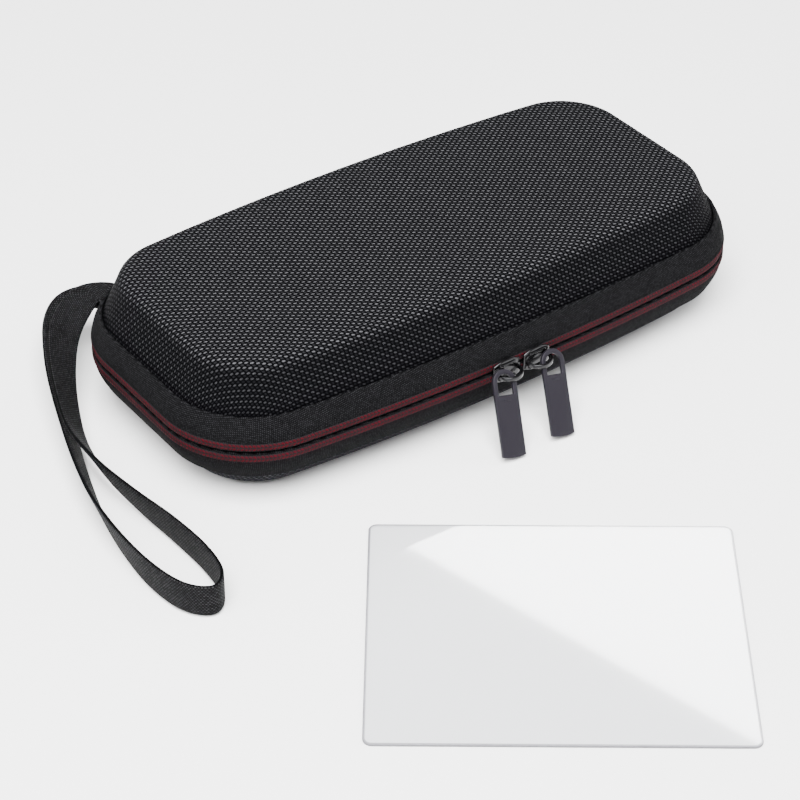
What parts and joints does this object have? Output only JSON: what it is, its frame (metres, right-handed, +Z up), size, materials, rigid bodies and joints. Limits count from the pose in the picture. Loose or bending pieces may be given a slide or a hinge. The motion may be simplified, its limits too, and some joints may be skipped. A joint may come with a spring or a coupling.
{
  "type": "zipped hard-shell carrying case",
  "caption": "Moulded two-shell zip case with a cloth hinge, zip sliders and pulls, inner net pocket, elastic band and wrist strap, and a loose clear flat sheet.",
  "frame": {"origin": "centre of the flat underside that the case stands on", "axes": "+X along the case's length, +Y towards the cloth hinge at the back, +Z up; the zip pulls are at -Y"},
  "size_m": [0.2305, 0.2637, 0.0448],
  "materials": {
    "shell_cloth": "coarse ballistic weave over moulded foam",
    "lining": "short nap",
    "tape": "fine ribbed tape",
    "coil": "nylon coil",
    "stripe": "stitched dark red",
    "trim": "grosgrain",
    "webbing": "fine ribbed webbing",
    "net": "open mesh",
    "slider_metal": "gloss black",
    "tab_metal": "satin gunmetal",
    "clear_film": "polished clear"
  },
  "bodies": {
    "root": {"base_shell": "shell_cloth", "base_lining": "lining", "lower_tape": "tape", "lower_coil": "coil", "lower_stripe": "stripe", "base_binding": "trim", "elastic_band": "webbing", "hinge_leaf_lower": "trim", "zip_patch_left": "trim", "zip_patch_right": "trim", "strap_anchor": "webbing", "wrist_strap": "webbing"},
    "lid": {"lid_shell": "shell_cloth", "lid_lining": "lining", "upper_tape": "tape", "upper_coil": "coil", "upper_stripe": "stripe", "lid_binding": "trim", "net_pocket": "net", "pocket_hem": "webbing", "hinge_leaf_upper": "trim"},
    "slider_left": {"slider_left": "slider_metal"},
    "slider_right": {"slider_right": "slider_metal"},
    "pull_tab_left": {"pull_tab_left": "tab_metal"},
    "pull_tab_right": {"pull_tab_right": "tab_metal"},
    "clear_sheet": {"clear_sheet": "clear_film"}
  },
  "joints": [
    {"name": "lid_hinge", "type": "hinge", "parent": "root", "child": "lid", "pos_m": [0, 0.051, 0.0205], "axis": [-1, 0, 0], "range_deg": [0, 120]},
    {"name": "slider_left_run", "type": "hinge", "parent": "root", "child": "slider_left", "pos_m": [0, 0.76817, 0.0205], "axis": [0, 0, -1], "range_deg": [0, 4.06]},
    {"name": "slider_right_run", "type": "hinge", "parent": "root", "child": "slider_right", "pos_m": [0, 0.76817, 0.0205], "axis": [0, 0, 1], "range_deg": [0, 3.85]},
    {"name": "pull_tab_left_swing", "type": "hinge", "parent": "slider_left", "child": "pull_tab_left", "pos_m": [-0.00745, -0.05422, 0.0205], "axis": [0.0041, 0.8387, -0.5446], "range_deg": [-18, 23]},
    {"name": "pull_tab_right_swing", "type": "hinge", "parent": "slider_right", "child": "pull_tab_right", "pos_m": [0.01047, -0.05419, 0.0205], "axis": [0.0072, -0.8386, 0.5446], "range_deg": [0, 47]},
    {"name": "clear_sheet_lift", "type": "slide", "parent": "root", "child": "clear_sheet", "axis": [0, 0, 1], "range_m": [0, 0.1]}
  ]
}
